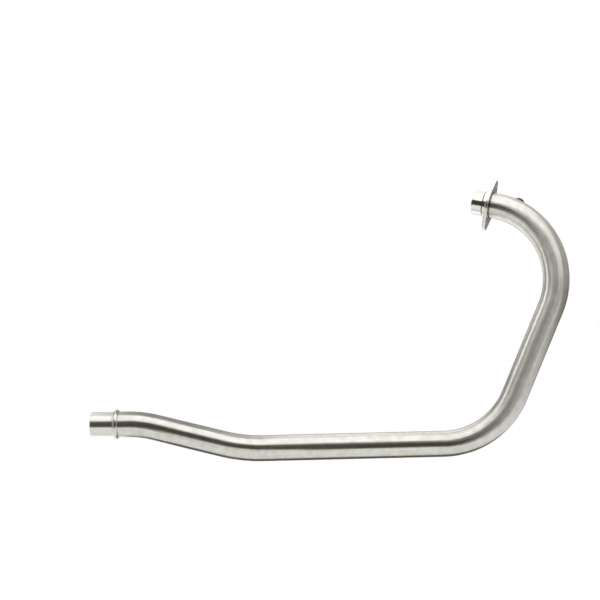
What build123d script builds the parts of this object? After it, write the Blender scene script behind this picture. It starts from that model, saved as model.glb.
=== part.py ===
"""Right-hand exhaust header of a parallel-twin motorcycle, in millimetres.

The frame is the motorcycle's own: +X points forward, +Y inboard to the engine and +Z up.
The origin is on the port axis, on the collar's face that seats in the cylinder head.
The tube runs forward and out from the port, down the front of the engine and back under it.
"""

import os
from math import cos, radians, sin, tan

from build123d import *

# Tube stock
tube_od = 38.1
tube_wall = 1.5

# Straight stretches between the bends
head_straight = 10.5
leg_straight = 138.3
run_straight = 266.3
rise_straight = 103.3
outlet_straight = 21.3

# Centre-line radii of the bends
shoulder_bend_radius = 114.0
foot_bend_radius = 114.0
rise_bend_radius = 230.0
level_bend_radius = 160.0

# Directions of the straight stretches, in degrees
port_droop_angle = 13.5
port_splay_angle = 21.0
leg_lean_angle = 23.0
leg_tuck_angle = 4.0
rear_rise_angle = 15.0
outlet_rise_angle = 1.0

# Sized outlet end, which slips into the silencer
outlet_reduction = 0.9
outlet_spigot_length = 34.2
outlet_taper_length = 3.0
outlet_lead = 0.5

# Rounded ring that the silencer stops against
ring_height = 2.75
ring_width = 6.4
ring_side_height = 0.9

# Turned sleeve in the head end of the tube
spigot_reduction = 1.25
spigot_length = 17.5
spigot_lead = 1.2
collar_step = 1.7
collar_length = 4.6
collar_edge = 0.5
sleeve_wall = 2.05
sleeve_tail_length = 12.0
sleeve_flare_length = 6.0
sleeve_flare_lip = 0.5

# Loose two-bolt flange behind the collar
flange_thickness = 5.0
flange_rim_width = 6.0
flange_ear_radius = 9.5
flange_hole_spacing = 60.0
flange_hole_diameter = 8.5
flange_edge_radius = 1.0
flange_bore_chamfer = 0.6
flange_clock_angle = 15.0

# Threaded sensor boss on the engine side of the first bend
boss_od = 17.0
boss_height = 9.0
boss_edge = 0.8
boss_thread_minor = 10.65
boss_thread_chamfer = 0.9
boss_tube_hole = 13.0
boss_station = 27.0
boss_swing_angle = 52.0
boss_weld_leg = 2.4
boss_weld_round = 1.9

# Clearances
welded_fit = 0.05
flange_bore_clearance = 0.4
flange_end_play = 0.3

tube_radius = tube_od / 2
tube_bore_radius = tube_radius - tube_wall


def heading(side_angle, inboard_angle):
    """Unit vector: the first angle turns from forward to up, the second leans inboard."""
    side = radians(side_angle)
    inboard = radians(inboard_angle)
    return Vector(cos(side) * cos(inboard), sin(inboard), sin(side) * cos(inboard))


head_heading = heading(-port_droop_angle, -port_splay_angle)
leg_heading = heading(-90 - leg_lean_angle, leg_tuck_angle)
run_heading = heading(-180, 0)
rise_heading = heading(-180 - rear_rise_angle, 0)
outlet_heading = heading(-180 - outlet_rise_angle, 0)


def tube_route():
    """Centre line of the bent tube, from the collar's back to the stop ring's rear face."""
    headings = [head_heading, leg_heading, run_heading, rise_heading, outlet_heading]
    straights = [head_straight, leg_straight, run_straight, rise_straight, outlet_straight]
    radii = [shoulder_bend_radius, foot_bend_radius, rise_bend_radius, level_bend_radius]
    setbacks = [0]
    for radius, before, after in zip(radii, headings, headings[1:]):
        setbacks.append(radius * tan(radians(before.get_angle(after)) / 2))
    setbacks.append(0)
    points = [head_heading * collar_length]
    for direction, straight, near, far in zip(headings, straights, setbacks, setbacks[1:]):
        points.append(points[-1] + direction * (near + straight + far))
    return FilletPolyline(*points, radius=radii)


route = tube_route()
route_start = route.position_at(0)
route_end = route.position_at(1)

# Port seat: Z points into the head, X as nearly upwards as it can
port_axis = -head_heading
port_up = Vector(0, 0, 1) - port_axis * port_axis.Z
port_seat = Plane(origin=(0, 0, 0), x_dir=port_up, z_dir=port_axis)

# Outlet seat: on the ring's rear face, with Z out of the open end
outlet_seat = Plane(origin=route_end, x_dir=(0, 1, 0), z_dir=outlet_heading)


def boss_plane():
    """Plane on the tube's centre line at the boss, with Z along the boss's axis."""
    distance = head_straight + boss_station
    along = route.tangent_at(distance, position_mode=PositionMode.LENGTH)
    inboard = head_heading.cross(leg_heading).normalized()
    outward = along.cross(inboard)
    swing = radians(boss_swing_angle)
    axis = outward * cos(swing) + inboard * sin(swing)
    centre = route.position_at(distance, position_mode=PositionMode.LENGTH)
    return Plane(origin=centre, x_dir=along, z_dir=axis)


boss_seat = boss_plane()


def rod(radius):
    """Solid bar that follows the tube's whole route."""
    section = Plane(origin=route_start, z_dir=head_heading) * Circle(radius)
    return sweep(section, path=route)


def bar(seat, radius, length):
    """Round bar that stands on a seat."""
    return seat * extrude(Circle(radius), amount=length)


def turned(seat, outline):
    """Solid turned about a seat's axis from an outline of (radius, height) points."""
    section = make_face(Polyline(*[(radius, 0, height) for radius, height in outline], close=True))
    return seat * revolve(section, axis=Axis.Z)


tube_envelope = rod(tube_radius)


def make_header_tube():
    """Bent tube with its outlet end sized down and a hole under the sensor boss."""
    outer = tube_radius - outlet_reduction
    bore = outer - tube_wall
    sized_end = turned(
        outlet_seat,
        [
            (tube_bore_radius, 0),
            (tube_radius, 0),
            (outer, outlet_taper_length),
            (outer, outlet_spigot_length - outlet_lead),
            (outer - outlet_lead, outlet_spigot_length),
            (bore, outlet_spigot_length),
            (bore, outlet_taper_length),
        ],
    )
    sensor_hole = bar(boss_seat, boss_tube_hole / 2, tube_od)
    return tube_envelope - rod(tube_bore_radius) + sized_end - sensor_hole


def make_port_sleeve():
    """Spigot, collar and tail turned from one bar, with a bore that flares into the tube."""
    spigot = tube_radius - spigot_reduction
    collar = tube_radius + collar_step
    tail = tube_bore_radius - welded_fit
    bore = spigot - sleeve_wall
    tail_end = -collar_length - sleeve_tail_length
    return turned(
        port_seat,
        [
            (bore, spigot_length),
            (spigot - spigot_lead, spigot_length),
            (spigot, spigot_length - spigot_lead),
            (spigot, 0),
            (collar - collar_edge, 0),
            (collar, -collar_edge),
            (collar, -collar_length),
            (tail, -collar_length),
            (tail, tail_end),
            (tail - sleeve_flare_lip, tail_end),
            (bore, tail_end + sleeve_flare_length),
        ],
    )


def make_clamp_flange():
    """Two-ear plate that turns on the tube and bears on the back of the collar."""
    bore = tube_radius + flange_bore_clearance
    ears = GridLocations(flange_hole_spacing, 0, 2, 1)
    body = Circle(bore + flange_rim_width)
    outline = body + [ear * Circle(flange_ear_radius) for ear in ears]
    plate = extrude(make_hull(outline.edges()), amount=-flange_thickness)
    plate = fillet(plate.faces().filter_by(Axis.Z).edges(), flange_edge_radius)
    mouth = bore + flange_bore_chamfer
    plate -= turned(
        Plane.XY,
        [
            (0, 0),
            (mouth, 0),
            (bore, -flange_bore_chamfer),
            (bore, flange_bore_chamfer - flange_thickness),
            (mouth, -flange_thickness),
            (0, -flange_thickness),
        ],
    )
    for ear in ears:
        plate -= ear * extrude(Circle(flange_hole_diameter / 2), amount=-flange_thickness)
    front_face = -collar_length - flange_end_play
    return port_seat * Pos(0, 0, front_face) * Rot(0, 0, flange_clock_angle) * plate


def make_outlet_stop_ring():
    """Ring with a rounded crown, welded round the tube where the sized end begins."""
    inner = tube_radius + welded_fit
    side = inner + ring_side_height
    crown = tube_radius + ring_height
    section = make_face(
        Polyline((side, 0, 0), (inner, 0, 0), (inner, 0, -ring_width), (side, 0, -ring_width))
        + ThreePointArc((side, 0, -ring_width), (crown, 0, -ring_width / 2), (side, 0, 0))
    )
    return outlet_seat * revolve(section, axis=Axis.Z)


def make_sensor_boss():
    """Boss bored for a sensor's thread, with its foot coped to the bend."""
    outer = boss_od / 2
    thread = boss_thread_minor / 2
    top = tube_radius + boss_height
    blank = turned(
        boss_seat,
        [
            (thread, 0),
            (outer, 0),
            (outer, top - boss_edge),
            (outer - boss_edge, top),
            (thread + boss_thread_chamfer, top),
            (thread, top - boss_thread_chamfer),
        ],
    )
    return blank - tube_envelope


def make_sensor_boss_weld():
    """Rounded weld bead in the corner between the boss and the bend."""
    outer = boss_od / 2
    reach = tube_radius + boss_height
    bead = bar(boss_seat, outer + boss_weld_leg, reach) & rod(tube_radius + boss_weld_leg)
    bead = bead - tube_envelope - bar(boss_seat, outer, reach)
    rims = bead.edges().sort_by(SortBy.LENGTH)[-2:]
    crest = max(rims, key=lambda rim: boss_seat.to_local_coords(rim.center()).Z)
    return fillet(crest, boss_weld_round)


os.makedirs("parts", exist_ok=True)
pieces = {
    "header_tube": make_header_tube(),
    "port_sleeve": make_port_sleeve(),
    "clamp_flange": make_clamp_flange(),
    "outlet_stop_ring": make_outlet_stop_ring(),
    "sensor_boss": make_sensor_boss(),
    "sensor_boss_weld": make_sensor_boss_weld(),
}
for name, solid in pieces.items():
    export_step(solid, f"parts/{name}.step")
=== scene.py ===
"""Dressed scene of a bent stainless exhaust header, in metres, in the part's own frame.

+X points forward, +Y inboard to the engine and +Z up. The origin is on the port axis.
"""

from math import cos, pi, radians, sin, sqrt

import bmesh
import bpy
from mathutils import Matrix, Quaternion, Vector


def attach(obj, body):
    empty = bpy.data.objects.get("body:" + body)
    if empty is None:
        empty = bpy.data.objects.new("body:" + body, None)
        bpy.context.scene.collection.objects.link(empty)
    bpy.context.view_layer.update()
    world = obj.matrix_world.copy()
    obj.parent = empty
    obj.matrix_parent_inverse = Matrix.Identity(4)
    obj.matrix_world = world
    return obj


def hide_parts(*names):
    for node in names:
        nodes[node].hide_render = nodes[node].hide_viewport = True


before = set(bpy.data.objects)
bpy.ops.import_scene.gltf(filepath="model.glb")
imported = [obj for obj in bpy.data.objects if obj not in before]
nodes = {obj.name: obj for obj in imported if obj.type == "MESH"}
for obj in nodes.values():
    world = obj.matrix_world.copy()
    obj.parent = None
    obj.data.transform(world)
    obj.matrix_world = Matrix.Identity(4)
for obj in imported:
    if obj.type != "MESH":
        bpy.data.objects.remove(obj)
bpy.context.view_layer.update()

MM = 0.001

# Tube stock and its route, as in the solids
TUBE_RADIUS = 19.05 * MM
TUBE_WALL = 1.5 * MM
COLLAR_LENGTH = 4.6 * MM
STRAIGHTS = [10.5 * MM, 138.3 * MM, 266.3 * MM, 103.3 * MM, 21.3 * MM]
BEND_RADII = [114.0 * MM, 114.0 * MM, 230.0 * MM, 160.0 * MM]

# Directions of the straights, in degrees: turned from forward to up, and leaning inboard
SIDE_ANGLES = [-13.5, -113.0, -180.0, -195.0, -181.0]
INBOARD_ANGLES = [-21.0, 4.0, 0.0, 0.0, 0.0]

# Sized outlet end, as in the solids
OUTLET_REDUCTION = 0.9 * MM
OUTLET_LENGTH = 34.2 * MM
OUTLET_TAPER = 3.0 * MM
OUTLET_LEAD = 0.5 * MM

# Sensor boss, with a thread in its bore and a foot that sinks into the tube's wall
BOSS_RADIUS = 8.5 * MM
BOSS_HEIGHT = 9.0 * MM
BOSS_EDGE = 0.8 * MM
BOSS_STATION = 27.0 * MM
BOSS_SWING = radians(52.0)
FOOT_SINK = 0.35 * MM
THREAD_MINOR = 5.325 * MM
THREAD_DEPTH = 0.6 * MM
THREAD_PITCH = 1.25 * MM
THREAD_CHAMFER = 0.9 * MM
TUBE_HOLE_RADIUS = 6.5 * MM

# Weld round the boss, whose ripples take a share of its leg
WELD_LEG = 2.2 * MM
WELD_RIPPLES = 36
WELD_RIPPLE_SHARE = 0.1

# Mesh fineness
TUBE_SEGMENTS = 96
BEND_STEP = 3.0 * MM
STRAIGHT_STEP = 8.0 * MM
LEAST_STRAIGHT_STEPS = 2
CORNER_RING_GAP = 0.4 * MM
BOSS_SEGMENTS = 96
DRILL_SEGMENTS = 48
THREAD_ROWS_PER_PITCH = 10
WELD_SEGMENTS = 360
WELD_ROWS = 8
SHARP_ANGLE = radians(28)

# Painted shade where parts meet: on the tube behind the loose flange, round the flange's bore and
# before the collar
FLANGE_BACK = 5.3 * MM
TUBE_SHADE_LENGTH = 0.5 * MM
TUBE_SHADE_FADE = 2.1 * MM
FLANGE_BORE = 19.45 * MM
BORE_SHADE_FADE = 1.6 * MM
COLLAR_SHADE_SPAN = (-0.5 * MM, 1.5 * MM)
COLLAR_SHADE_FADE = 0.6 * MM

# Length over which the tube's finish changes to that of its sized end
SIZED_FADE = 2.0 * MM

# Tones of the finishes, dark and light
STEEL_TONES = ((0.555, 0.54, 0.5, 1.0), (0.69, 0.682, 0.645, 1.0))
BRIGHT_TONES = ((0.67, 0.66, 0.635, 1.0), (0.75, 0.74, 0.715, 1.0))
# The boss's near-black tones are painted shade on its flanks, not the colour of its steel
BOSS_SHADE_TONES = ((0.055, 0.052, 0.047, 1.0), (0.14, 0.134, 0.12, 1.0))
WELD_TONES = ((0.5, 0.45, 0.37, 1.0), (0.66, 0.64, 0.6, 1.0))
FLOOR_TONES = ((0.6, 0.6, 0.59, 1.0), (0.62, 0.62, 0.61, 1.0))
SIZED_TONE = (0.7, 0.69, 0.665, 1.0)
# Tone of the painted shade where the parts meet
PAINTED_SHADE_TONE = (0.16, 0.15, 0.13, 1.0)

# Roughness of the finishes, least and most
SATIN_ROUGHNESS = (0.31, 0.37)
SIZED_ROUGHNESS = 0.36
SLEEVE_ROUGHNESS = (0.11, 0.2)
BOSS_ROUGHNESS = (0.2, 0.3)
PLATE_ROUGHNESS = (0.22, 0.3)
RING_ROUGHNESS = (0.2, 0.28)
WELD_ROUGHNESS = (0.2, 0.36)
BRUSH_ANISOTROPY = 0.95

# Noise of marks that follow the tube, as scales per metre along it and per turn round it, and detail
TUBE_MAP = "along_tube"
BRUSH_LINES = ((6000.0, 9.0, 1.0), 2.0)
STREAKS = ((16.0, 52.0, 1.0), 3.0)

# Noise of the other marks and of the clouded tones, as scale per metre and detail
BUFFING_MARKS = ((2600.0, 2600.0, 290.0), 3.0)
TOOL_LINES = (4000.0, 2.0)
TUBE_CLOUDS = (100.0, 4.0)
TURNED_CLOUDS = (90.0, 3.0)
POLISHED_CLOUDS = (120.0, 3.0)
WELD_CLOUDS = (420.0, 3.0)
FLOOR_CLOUDS = (3.0, 2.0)

# Sum of streaks and clouds at which the tube is darkest and lightest
WEAR_RANGE = (0.78, 1.22)

# Depth of the fine marks, and how strongly they show
MARK_DEPTH = 0.05 * MM
BRUSH_STRENGTH = 0.05
BUFFING_STRENGTH = 0.05
TOOL_LINE_STRENGTH = 0.08

# Inputs and output of the mix node for each kind of data, because their names are all alike
MIX_SOCKETS = {"FLOAT": (2, 3, 0), "RGBA": (6, 7, 2)}

# Camera fitted to the photograph, whose frame is square
CAMERA_POINT = (-0.28181, -1.7299, -0.13724)
CAMERA_ROLL = radians(-1.395)
CAMERA_LENS = 69.043
CAMERA_SENSOR = 36.0

# Floor, with the glow that lifts it to white near the part and far from it
FLOOR_HEIGHT = -0.96
FLOOR_LOW = (-2.6, -2.6)
FLOOR_HIGH = (2.2, 1.2)
FLOOR_CENTRE = (-0.25, -0.2, FLOOR_HEIGHT)
FLOOR_NEAR = 0.8
FLOOR_FAR = 2.4
FLOOR_NEAR_LIFT = 0.57
FLOOR_FAR_LIFT = 0.85

# Softbox above the part
SOFTBOX_HEIGHT = 0.67
SOFTBOX_LOW = (-1.3, -1.32)
SOFTBOX_HIGH = (1.5, 0.1)
SOFTBOX_RADIANCE = 1.35

# Background: its strength as light, and where it is seen
WORLD_LIGHT = 0.45
WORLD_SEEN = 1.0
WHITE = (1.0, 1.0, 1.0, 1.0)

# Dim walls round the set
ROOM_LOW = (-2.6, -2.6, -1.9)
ROOM_HIGH = (2.2, 2.4, 1.5)
ROOM_GREYS = {"front": 0.045, "rear": 0.22, "left": 0.13, "right": 0.4, "ceiling": 0.3, "ground": 0.12}

# Tints of the cards and walls, of which the darkest are warmer
CARD_TINT = (1.0, 0.985, 0.945, 1.0)
DARK_CARD_TINT = (1.0, 0.97, 0.5, 1.0)
DARK_CARD_LIMIT = 0.1

# Cards that only the reflections show, each flat along one axis: two opposite corners and a grey.
# Left, right, front and rear are as the camera sees them.
CARDS = {
    # Large cards round the set
    "floor_front": ((-2.6, -2.6, -0.95), (2.2, -1.74, -0.95), 0.045),
    "rear_ceiling": ((-1.3, 0.1, 0.67), (2.2, 2.4, 0.67), 1.32),
    "left_panel": ((-2.2, -0.18, -0.7), (-2.2, 0.66, 1.1), 1.75),
    "rear_left": ((-2.6, 2.35, 0.0), (-0.6, 2.35, 0.66), 0.16),
    "rear_low": ((-2.6, 2.35, -1.9), (-0.6, 2.35, 0.0), 1.35),
    "left_strip": ((-2.2, -2.1, -0.7), (-2.2, -1.8, 1.1), 0.75),
    "rear_right": ((0.3, 0.1, 0.66), (2.2, 2.4, 0.66), 0.75),
    "floor_rear": ((-2.6, 0.3, -0.955), (0.45, 2.4, -0.955), 1.35),
    # Small cards close to the outlet, the rise, the lower run and the foot bend
    "outlet_flag": ((-0.575, -0.03, -0.2), (-0.35, 0.6, -0.2), 0.36),
    "run_flag": ((-0.39, 0.0, -0.52), (0.02, 0.0, -0.385), 0.08),
    "rise_flag": ((-0.55, 0.0, -0.5), (-0.39, 0.0, -0.36), 0.1),
    "rise_pale_1": ((-0.35, -0.1, -0.39), (-0.29, -0.1, -0.364), 1.0),
    "rise_pale_2": ((-0.41, -0.1, -0.39), (-0.35, -0.1, -0.357), 1.0),
    "rise_pale_3": ((-0.46, -0.1, -0.38), (-0.41, -0.1, -0.349), 1.0),
    "rise_pale_4": ((-0.5, -0.1, -0.37), (-0.46, -0.1, -0.337), 1.0),
    "foot_flag": ((-0.03, 0.002, -0.42), (0.045, 0.002, -0.362), 0.08),
    "foot_top": ((-0.05, 0.0, -0.285), (0.02, 0.0, -0.2), 0.4),
    # Cards forward of the leg and the first bend
    "front_right": ((0.17, -0.8, -0.02), (1.2, -0.8, 0.4), 0.95),
    "leg_flag": ((0.5, -0.35, -0.42), (0.5, 0.7, -0.19), 0.08),
    "right_grey": ((0.75, -0.5, -0.15), (0.75, 0.4, 0.66), 0.5),
}


# Route of the tube


def heading(side_angle, inboard_angle):
    """Unit vector: the first angle turns from forward to up, the second leans inboard."""
    side = radians(side_angle)
    inboard = radians(inboard_angle)
    return Vector((cos(side) * cos(inboard), sin(inboard), sin(side) * cos(inboard)))


HEADINGS = [heading(side, inboard) for side, inboard in zip(SIDE_ANGLES, INBOARD_ANGLES)]
PORT_AXIS = -HEADINGS[0]


class Station:
    """Place on the tube's centre line, with its direction and a side vector that doesn't twist."""

    def __init__(self, distance, point, direction, side):
        self.distance = distance
        self.point = point
        self.direction = direction
        self.side = side

    def at(self, radius, angle):
        """Point on a circle round the centre line."""
        other = self.direction.cross(self.side)
        return self.point + (self.side * cos(angle) + other * sin(angle)) * radius

    def moved(self, length):
        """Station further along the same straight line."""
        point = self.point + self.direction * length
        return Station(self.distance + length, point, self.direction, self.side)

    def turned(self, axis, angle, radius):
        """Station further along a bend about an axis."""
        spin = Quaternion(axis, angle)
        arm = axis.cross(self.direction) * radius
        point = self.point + arm - spin @ arm
        return Station(self.distance + radius * angle, point, spin @ self.direction, spin @ self.side)


def bend_axis(index):
    """Axis that a bend turns about."""
    return HEADINGS[index].cross(HEADINGS[index + 1]).normalized()


def straight_stations(start, straight):
    """Stations along a straight stretch."""
    steps = max(LEAST_STRAIGHT_STEPS, round(straight / STRAIGHT_STEP))
    return [start.moved(straight * (step + 1) / steps) for step in range(steps)]


def bend_stations(start, index):
    """Stations along a bend."""
    axis = bend_axis(index)
    radius = BEND_RADII[index]
    turn = HEADINGS[index].angle(HEADINGS[index + 1])
    steps = round(turn * radius / BEND_STEP)
    return [start.turned(axis, turn * (step + 1) / steps, radius) for step in range(steps)]


def tube_stations():
    """Stations from the collar's back to the stop ring's rear face."""
    first = HEADINGS[0]
    side = first.cross(Vector((0, 0, 1))).normalized()
    stations = [Station(0.0, first * COLLAR_LENGTH, first, side)]
    for index, straight in enumerate(STRAIGHTS):
        stations += straight_stations(stations[-1], straight)
        if index < len(BEND_RADII):
            stations += bend_stations(stations[-1], index)
    return stations


STATIONS = tube_stations()
TUBE_LENGTH = STATIONS[-1].distance


def boss_frame():
    """Matrix from the centre line under the boss, with X along the tube and Z along the boss."""
    radius = BEND_RADII[0]
    axis = bend_axis(0)
    start = STATIONS[0].moved(STRAIGHTS[0])
    station = start.turned(axis, BOSS_STATION / radius, radius)
    outward = station.direction.cross(axis)
    up = outward * cos(BOSS_SWING) + axis * sin(BOSS_SWING)
    across = up.cross(station.direction)
    turn = Matrix((station.direction, across, up)).transposed().to_4x4()
    return Matrix.Translation(station.point) @ turn


BOSS_FRAME = boss_frame()
BOSS_AXIS = BOSS_FRAME.col[2].to_3d()


# Nodes that the materials share


def node_adder(tree):
    """Empties a node tree and gives the function that adds nodes to it."""
    tree.nodes.clear()

    def add(kind, inputs=None, **settings):
        """Adds a node. An input is linked where its value is a socket, and otherwise set."""
        node = tree.nodes.new(kind)
        for key, value in settings.items():
            setattr(node, key, value)
        for key, value in (inputs or {}).items():
            if isinstance(value, bpy.types.NodeSocket):
                tree.links.new(value, node.inputs[key])
            else:
                node.inputs[key].default_value = value
        return node

    return add


def new_material(name):
    """Empty material, and the function that adds nodes to it."""
    material = bpy.data.materials.new(name)
    material.use_nodes = True
    return material, node_adder(material.node_tree)


def part_place(add):
    """Place in the part's frame, in metres."""
    return add("ShaderNodeTexCoord").outputs["Object"]


def number_math(add, operation, first, second):
    """Number made of two others."""
    return add("ShaderNodeMath", {0: first, 1: second}, operation=operation).outputs[0]


def vector_math(add, operation, *vectors):
    """Outputs of a vector node, of which Vector or Value holds the result."""
    return add("ShaderNodeVectorMath", dict(enumerate(vectors)), operation=operation).outputs


def noise(add, place, scale, detail):
    """Noise from 0 to 1, equally fine in every direction."""
    inputs = {"Vector": place, "Scale": scale, "Detail": detail}
    return add("ShaderNodeTexNoise", inputs).outputs["Fac"]


def stretched_noise(add, place, scales, detail):
    """Noise from 0 to 1 with a scale of its own along each axis."""
    return noise(add, vector_math(add, "MULTIPLY", place, scales)["Vector"], 1.0, detail)


def line_noise(add, height, scale, detail):
    """Noise from 0 to 1 that changes along one axis only."""
    inputs = {"W": height, "Scale": scale, "Detail": detail}
    return add("ShaderNodeTexNoise", inputs, noise_dimensions="1D").outputs["Fac"]


def ramp(add, value, start, end):
    """0 up to the start and 1 from the end on, also where the end is the lower of the two."""
    inputs = {"Value": value, "From Min": start, "From Max": end}
    return add("ShaderNodeMapRange", inputs).outputs["Result"]


def spread(add, factor, low, high):
    """Factor from 0 to 1 spread over a range."""
    inputs = {"Value": factor, "To Min": low, "To Max": high}
    return add("ShaderNodeMapRange", inputs).outputs["Result"]


def mixed(add, kind, factor, first, second):
    """Number or colour between two others."""
    first_input, second_input, output = MIX_SOCKETS[kind]
    inputs = {0: factor, first_input: first, second_input: second}
    return add("ShaderNodeMix", inputs, data_type=kind).outputs[output]


def fine_marks(add, height, strength):
    """Normal of a surface with fine marks in it."""
    inputs = {"Strength": strength, "Distance": MARK_DEPTH, "Height": height}
    return add("ShaderNodeBump", inputs).outputs["Normal"]


def finish_metal(add, colour, roughness, other_inputs):
    """Ends a material with the shader of bare metal."""
    inputs = {"Base Color": colour, "Metallic": 1.0, "Roughness": roughness, **other_inputs}
    shader = add("ShaderNodeBsdfPrincipled", inputs)
    add("ShaderNodeOutputMaterial", {"Surface": shader.outputs[0]})


def seen_directly(add):
    """1 for rays that show the background: from the camera, in reflections and through glass."""
    rays = add("ShaderNodeLightPath").outputs
    seen = number_math(add, "MAXIMUM", rays["Is Camera Ray"], rays["Is Glossy Ray"])
    return number_math(add, "MAXIMUM", seen, rays["Is Transmission Ray"])


# Materials


def tube_material():
    """Satin tube with brush lines round it, faint streaks along it, a brighter sized end and painted
    shade behind the flange.
    """
    material, add = new_material("satin_tube")
    along = add("ShaderNodeUVMap", uv_map=TUBE_MAP).outputs["UV"]
    length = add("ShaderNodeSeparateXYZ", {0: along}).outputs["X"]
    brush = stretched_noise(add, along, *BRUSH_LINES)
    streak = stretched_noise(add, along, *STREAKS)
    cloud = noise(add, part_place(add), *TUBE_CLOUDS)
    wear = number_math(add, "ADD", streak, cloud)
    sized = ramp(add, length, TUBE_LENGTH - SIZED_FADE, TUBE_LENGTH)
    # Painted shade on the tube just behind the flange's back face
    shade_end = FLANGE_BACK + TUBE_SHADE_LENGTH
    joint_shade = ramp(add, length, shade_end + TUBE_SHADE_FADE, shade_end)
    colour = mixed(add, "RGBA", ramp(add, wear, *WEAR_RANGE), *STEEL_TONES)
    colour = mixed(add, "RGBA", sized, colour, SIZED_TONE)
    colour = mixed(add, "RGBA", joint_shade, colour, PAINTED_SHADE_TONE)
    satin = spread(add, brush, *SATIN_ROUGHNESS)
    roughness = mixed(add, "FLOAT", sized, satin, SIZED_ROUGHNESS)
    tangent = add("ShaderNodeTangent", direction_type="UV_MAP", uv_map=TUBE_MAP)
    brushed = {
        "Anisotropic": BRUSH_ANISOTROPY,
        "Normal": fine_marks(add, brush, BRUSH_STRENGTH),
        "Tangent": tangent.outputs["Tangent"],
    }
    finish_metal(add, colour, roughness, brushed)
    return material


def turned_material(name, axis, tones, roughness_range, corner=None):
    """Turned steel with fine tool lines across an axis, and painted shade over a span of that axis
    where one is given.
    """
    material, add = new_material(name)
    place = part_place(add)
    height = vector_math(add, "DOT_PRODUCT", place, tuple(axis))["Value"]
    lines = line_noise(add, height, *TOOL_LINES)
    colour = mixed(add, "RGBA", noise(add, place, *TURNED_CLOUDS), *tones)
    if corner:
        # Painted shade over the given span along the axis
        low, high = corner
        above = ramp(add, height, low - COLLAR_SHADE_FADE, low)
        below = ramp(add, height, high + COLLAR_SHADE_FADE, high)
        colour = mixed(add, "RGBA", number_math(add, "MULTIPLY", above, below), colour, PAINTED_SHADE_TONE)
    roughness = spread(add, lines, *roughness_range)
    finish_metal(add, colour, roughness, {"Normal": fine_marks(add, lines, TOOL_LINE_STRENGTH)})
    return material


def polished_material(name, tones, roughness_range, bore=None):
    """Polished steel with fine buffing marks, and painted shade round a bore where one is given."""
    material, add = new_material(name)
    place = part_place(add)
    marks = stretched_noise(add, place, *BUFFING_MARKS)
    colour = mixed(add, "RGBA", noise(add, place, *POLISHED_CLOUDS), *tones)
    if bore:
        # Painted shade round the bore, where the flange sits on the tube
        across = vector_math(add, "CROSS_PRODUCT", place, tuple(PORT_AXIS))["Vector"]
        radius = vector_math(add, "LENGTH", across)["Value"]
        joint_shade = ramp(add, radius, bore + BORE_SHADE_FADE, bore)
        colour = mixed(add, "RGBA", joint_shade, colour, PAINTED_SHADE_TONE)
    roughness = spread(add, marks, *roughness_range)
    finish_metal(add, colour, roughness, {"Normal": fine_marks(add, marks, BUFFING_STRENGTH)})
    return material


def weld_material():
    """Weld metal, clouded with a faint straw tint."""
    material, add = new_material("weld_metal")
    cloud = noise(add, part_place(add), *WELD_CLOUDS)
    colour = mixed(add, "RGBA", cloud, *WELD_TONES)
    finish_metal(add, colour, spread(add, cloud, *WELD_ROUGHNESS), {})
    return material


def floor_material():
    """Pale matt floor that shows as white and keeps a shadow."""
    material, add = new_material("pale_floor")
    place = part_place(add)
    colour = mixed(add, "RGBA", noise(add, place, *FLOOR_CLOUDS), *FLOOR_TONES)
    matt = add("ShaderNodeBsdfDiffuse", {"Color": colour}).outputs[0]
    distance = vector_math(add, "DISTANCE", place, FLOOR_CENTRE)["Value"]
    far = ramp(add, distance, FLOOR_NEAR, FLOOR_FAR)
    lift = spread(add, far, FLOOR_NEAR_LIFT, FLOOR_FAR_LIFT)
    strength = number_math(add, "MULTIPLY", seen_directly(add), lift)
    glow = add("ShaderNodeEmission", {"Strength": strength}).outputs[0]
    total = add("ShaderNodeAddShader", {0: matt, 1: glow}).outputs[0]
    add("ShaderNodeOutputMaterial", {"Surface": total})
    return material


def card_material(name, grey):
    """Evenly lit card."""
    material, add = new_material(name)
    tint = DARK_CARD_TINT if grey < DARK_CARD_LIMIT else CARD_TINT
    glow = add("ShaderNodeEmission", {"Color": tint, "Strength": grey}).outputs[0]
    add("ShaderNodeOutputMaterial", {"Surface": glow})
    return material


# Pieces


def smooth(piece):
    """Smooth shading with sharp edges kept."""
    mesh = piece.data
    mesh.polygons.foreach_set("use_smooth", [True] * len(mesh.polygons))
    mesh.set_sharp_from_angle(angle=SHARP_ANGLE)


def new_piece(name, vertices, faces, material, body):
    """Mesh object that rides a body, smooth except along its sharp edges."""
    mesh = bpy.data.meshes.new(name)
    mesh.from_pydata([tuple(vertex) for vertex in vertices], [], faces)
    mesh.validate()
    mesh.materials.append(material)
    piece = bpy.data.objects.new(name, mesh)
    bpy.context.scene.collection.objects.link(piece)
    smooth(piece)
    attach(piece, body)
    return piece


def ring_faces(rings, segments):
    """Quads between neighbouring rings, with the last ring joined to the first."""
    faces = []
    for row in range(rings):
        start = row * segments
        following = (row + 1) % rings * segments
        for column in range(segments):
            beside = (column + 1) % segments
            faces.append((start + column, start + beside, following + beside, following + column))
    return faces


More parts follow.
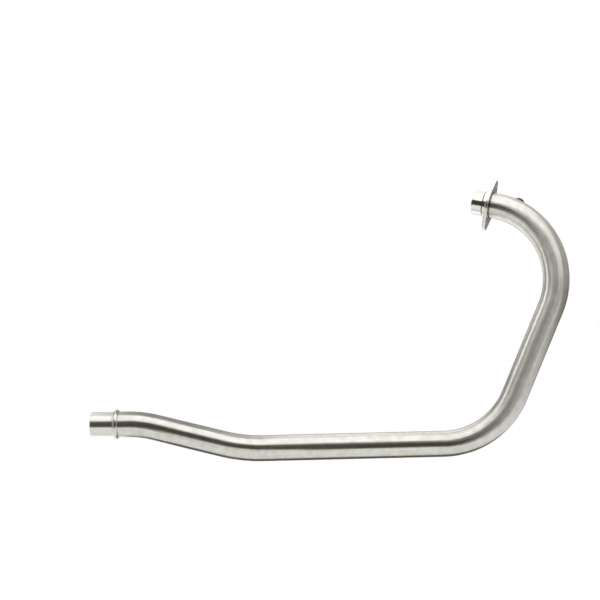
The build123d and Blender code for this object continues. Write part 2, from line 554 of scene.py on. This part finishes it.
def tube_rings():
    """Stations and radii of the tube's rings, out to the sized end and back through the bore."""
    sized = TUBE_RADIUS - OUTLET_REDUCTION
    sized_bore = sized - TUBE_WALL
    gap = CORNER_RING_GAP
    gap_drop = OUTLET_REDUCTION * gap / OUTLET_TAPER
    outside = [
        (gap, TUBE_RADIUS - gap_drop),
        (OUTLET_TAPER - gap, sized + gap_drop),
        (OUTLET_TAPER, sized),
        (OUTLET_TAPER + gap, sized),
        (OUTLET_LENGTH / 2, sized),
        (OUTLET_LENGTH - OUTLET_LEAD - gap, sized),
        (OUTLET_LENGTH - OUTLET_LEAD, sized),
        (OUTLET_LENGTH, sized - OUTLET_LEAD),
    ]
    inside = [(height, sized_bore) for height in (OUTLET_LENGTH, OUTLET_LENGTH / 2, OUTLET_TAPER)]
    rings = [(station, TUBE_RADIUS) for station in STATIONS]
    rings += [(STATIONS[-1].moved(height), radius) for height, radius in outside + inside]
    rings += [(station, TUBE_RADIUS - TUBE_WALL) for station in reversed(STATIONS)]
    return rings


def map_along_tube(piece, rings):
    """Coordinates for the brush lines: metres along the tube and turns round it."""
    lengths = [station.distance for station, radius in rings]
    uv_map = piece.data.uv_layers.new(name=TUBE_MAP)
    for polygon in piece.data.polygons:
        row, column = divmod(polygon.index, TUBE_SEGMENTS)
        start = lengths[row]
        end = lengths[(row + 1) % len(rings)]
        corners = [(start, column), (start, column + 1), (end, column + 1), (end, column)]
        for loop, (length, place) in zip(polygon.loop_indices, corners):
            uv_map.data[loop].uv = (length, place / TUBE_SEGMENTS)


def make_drill():
    """Round bar that stands where the hole under the boss is."""
    mesh = bpy.data.meshes.new("drill")
    shape = bmesh.new()
    bmesh.ops.create_cone(
        shape,
        cap_ends=True,
        segments=DRILL_SEGMENTS,
        radius1=TUBE_HOLE_RADIUS,
        radius2=TUBE_HOLE_RADIUS,
        depth=TUBE_RADIUS,
        matrix=BOSS_FRAME @ Matrix.Translation((0, 0, TUBE_RADIUS)),
    )
    shape.to_mesh(mesh)
    shape.free()
    drill = bpy.data.objects.new("drill", mesh)
    bpy.context.scene.collection.objects.link(drill)
    return drill


def drill_sensor_hole(piece):
    """Cuts the hole under the boss through one wall of the tube."""
    drill = make_drill()
    cut = piece.modifiers.new("sensor_hole", "BOOLEAN")
    cut.operation = "DIFFERENCE"
    cut.solver = "EXACT"
    cut.object = drill
    bpy.context.view_layer.update()
    graph = bpy.context.evaluated_depsgraph_get()
    result = bpy.data.meshes.new_from_object(piece.evaluated_get(graph))
    piece.modifiers.clear()
    piece.data = result
    smooth(piece)
    bpy.data.objects.remove(drill)


def make_tube(material):
    """Bent tube with its sized end, lip, bore and the hole under the boss."""
    rings = tube_rings()
    angles = [2 * pi * column / TUBE_SEGMENTS for column in range(TUBE_SEGMENTS)]
    vertices = [station.at(radius, angle) for station, radius in rings for angle in angles]
    faces = ring_faces(len(rings), TUBE_SEGMENTS)
    piece = new_piece("bent_tube", vertices, faces, material, "pipe")
    map_along_tube(piece, rings)
    drill_sensor_hole(piece)
    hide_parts("header_tube")


def foot_height(radius, angle):
    """Height of the tube's surface above its centre line at a place beside the boss's axis."""
    return sqrt(TUBE_RADIUS**2 - (radius * sin(angle)) ** 2)


def boss_outline(angle):
    """Radii and heights of the boss on one side, up its wall and down its threaded bore."""
    top = TUBE_RADIUS + BOSS_HEIGHT
    foot = foot_height(BOSS_RADIUS, angle) - FOOT_SINK
    thread_top = top - THREAD_CHAMFER
    thread_foot = foot_height(THREAD_MINOR + THREAD_DEPTH, angle) - FOOT_SINK
    thread_rows = int((BOSS_HEIGHT - THREAD_CHAMFER) / THREAD_PITCH * THREAD_ROWS_PER_PITCH)
    points = [
        (BOSS_RADIUS, foot),
        (BOSS_RADIUS, top - BOSS_EDGE),
        (BOSS_RADIUS - BOSS_EDGE, top),
        (THREAD_MINOR + THREAD_CHAMFER, top),
    ]
    for row in range(thread_rows + 1):
        height = thread_top + (thread_foot - thread_top) * row / thread_rows
        groove = (1 - cos(2 * pi * height / THREAD_PITCH - angle)) / 2
        points.append((THREAD_MINOR + THREAD_DEPTH * groove, height))
    return points


def weld_outline(angle):
    """Radii and heights of the bead on one side: its face from boss to tube, then its root."""
    ripple = abs(sin(WELD_RIPPLES * angle / 2))
    leg = WELD_LEG * (1 - WELD_RIPPLE_SHARE + WELD_RIPPLE_SHARE * ripple)
    corner = foot_height(BOSS_RADIUS, angle)
    drop = corner - foot_height(BOSS_RADIUS + leg, angle) + FOOT_SINK
    points = []
    for row in range(WELD_ROWS + 1):
        swing = pi / 2 * row / WELD_ROWS
        points.append((BOSS_RADIUS + leg * sin(swing), corner + leg * cos(swing) - drop * sin(swing)))
    points.append((BOSS_RADIUS - FOOT_SINK, corner - 2 * FOOT_SINK))
    return points


def round_boss(outline, segments):
    """Vertices and faces round the boss's axis, from a function that gives the outline at an angle."""
    angles = [2 * pi * step / segments for step in range(segments)]
    rings = list(zip(*[outline(angle) for angle in angles]))
    vertices = []
    for ring in rings:
        for angle, (radius, height) in zip(angles, ring):
            vertices.append(BOSS_FRAME @ Vector((radius * cos(angle), radius * sin(angle), height)))
    return vertices, ring_faces(len(rings), segments)


def make_boss(material):
    """Boss with a real thread in its bore and a foot that follows the tube."""
    vertices, faces = round_boss(boss_outline, BOSS_SEGMENTS)
    piece = new_piece("threaded_boss", vertices, faces, material, "pipe")
    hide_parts("sensor_boss")


def make_weld(material):
    """Rippled bead in the corner between the boss and the tube."""
    vertices, faces = round_boss(weld_outline, WELD_SEGMENTS)
    piece = new_piece("boss_weld_bead", vertices, faces, material, "pipe")
    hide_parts("sensor_boss_weld")


def dress_nodes(materials):
    """Gives the solids that stay in view their materials and smooth shading."""
    for name, material in materials.items():
        piece = nodes[name]
        piece.data.materials.clear()
        piece.data.materials.append(material)
        smooth(piece)


# Stage


def stage_mesh(name, vertices, faces, materials):
    """Object of the stage, not of the part."""
    mesh = bpy.data.meshes.new(name)
    mesh.from_pydata(vertices, [], faces)
    for material in materials:
        mesh.materials.append(material)
    piece = bpy.data.objects.new(name, mesh)
    bpy.context.scene.collection.objects.link(piece)
    return piece


def flat_panel(name, low, high, material):
    """Flat rectangle of the stage between two opposite corners."""
    flat = [axis for axis in range(3) if low[axis] == high[axis]][0]
    first, second = [axis for axis in range(3) if axis != flat]
    corners = []
    for at_first, at_second in ((low, low), (high, low), (high, high), (low, high)):
        corner = list(low)
        corner[first] = at_first[first]
        corner[second] = at_second[second]
        corners.append(tuple(corner))
    return stage_mesh(name, corners, [(0, 1, 2, 3)], [material])


def show_only_in_reflections(piece):
    """Keeps a card or wall out of the picture, the shadows and the even light."""
    piece.visible_camera = False
    piece.visible_diffuse = False
    piece.visible_transmission = False
    piece.visible_shadow = False


def make_floor():
    """Floor under the part, which catches its shadow."""
    flat_panel("floor", (*FLOOR_LOW, FLOOR_HEIGHT), (*FLOOR_HIGH, FLOOR_HEIGHT), floor_material())


def make_room():
    """Dim walls round the set, which only the reflections show."""
    xs, ys, zs = zip(ROOM_LOW, ROOM_HIGH)
    corners = [(x, y, z) for x in xs for y in ys for z in zs]
    # Each side by the places of its corners in that list
    sides = {
        "front": (0, 1, 5, 4),
        "rear": (2, 3, 7, 6),
        "left": (0, 1, 3, 2),
        "right": (4, 5, 7, 6),
        "ceiling": (1, 3, 7, 5),
        "ground": (0, 2, 6, 4),
    }
    materials = [card_material("room_" + side, ROOM_GREYS[side]) for side in sides]
    room = stage_mesh("room", corners, list(sides.values()), materials)
    for index, polygon in enumerate(room.data.polygons):
        polygon.material_index = index
    show_only_in_reflections(room)


def make_cards():
    """Light and dark cards that draw the bands on the steel."""
    for name, (low, high, grey) in CARDS.items():
        show_only_in_reflections(flat_panel(name, low, high, card_material(name, grey)))


def make_softbox():
    """Large soft lamp above the part, whose power follows from its radiance and size."""
    width = SOFTBOX_HIGH[0] - SOFTBOX_LOW[0]
    depth = SOFTBOX_HIGH[1] - SOFTBOX_LOW[1]
    lamp = bpy.data.lights.new("softbox", "AREA")
    lamp.shape = "RECTANGLE"
    lamp.size = width
    lamp.size_y = depth
    lamp.energy = SOFTBOX_RADIANCE * pi * width * depth
    softbox = bpy.data.objects.new("softbox", lamp)
    softbox.location = (SOFTBOX_LOW[0] + width / 2, SOFTBOX_LOW[1] + depth / 2, SOFTBOX_HEIGHT)
    softbox.visible_camera = False
    bpy.context.scene.collection.objects.link(softbox)


def make_world():
    """White background with a low even light."""
    world = bpy.data.worlds.new("studio")
    bpy.context.scene.world = world
    world.use_nodes = True
    add = node_adder(world.node_tree)
    strength = spread(add, seen_directly(add), WORLD_LIGHT, WORLD_SEEN)
    background = add("ShaderNodeBackground", {"Color": WHITE, "Strength": strength})
    add("ShaderNodeOutputWorld", {"Surface": background.outputs[0]})


def make_camera():
    """Level camera in front of the part, with the photograph's slight roll."""
    lens = bpy.data.cameras.new("camera")
    lens.lens = CAMERA_LENS
    lens.sensor_width = CAMERA_SENSOR
    camera = bpy.data.objects.new("camera", lens)
    level = Matrix.Rotation(pi / 2, 4, "X")
    roll = Matrix.Rotation(CAMERA_ROLL, 4, "Z")
    camera.matrix_world = Matrix.Translation(CAMERA_POINT) @ level @ roll
    bpy.context.scene.collection.objects.link(camera)
    bpy.context.scene.camera = camera


# Scene

make_tube(tube_material())
make_boss(turned_material("turned_boss", BOSS_AXIS, BOSS_SHADE_TONES, BOSS_ROUGHNESS))
make_weld(weld_material())
dress_nodes(
    {
        # The sleeve gets painted shade before its collar, where the flange sits
        "port_sleeve": turned_material(
            "turned_sleeve", PORT_AXIS, BRIGHT_TONES, SLEEVE_ROUGHNESS, COLLAR_SHADE_SPAN
        ),
        "clamp_flange": polished_material("polished_plate", BRIGHT_TONES, PLATE_ROUGHNESS, FLANGE_BORE),
        "outlet_stop_ring": polished_material("polished_ring", STEEL_TONES, RING_ROUGHNESS),
    }
)
make_floor()
make_room()
make_cards()
make_softbox()
make_world()
make_camera()
bpy.context.scene.view_settings.view_transform = "Standard"
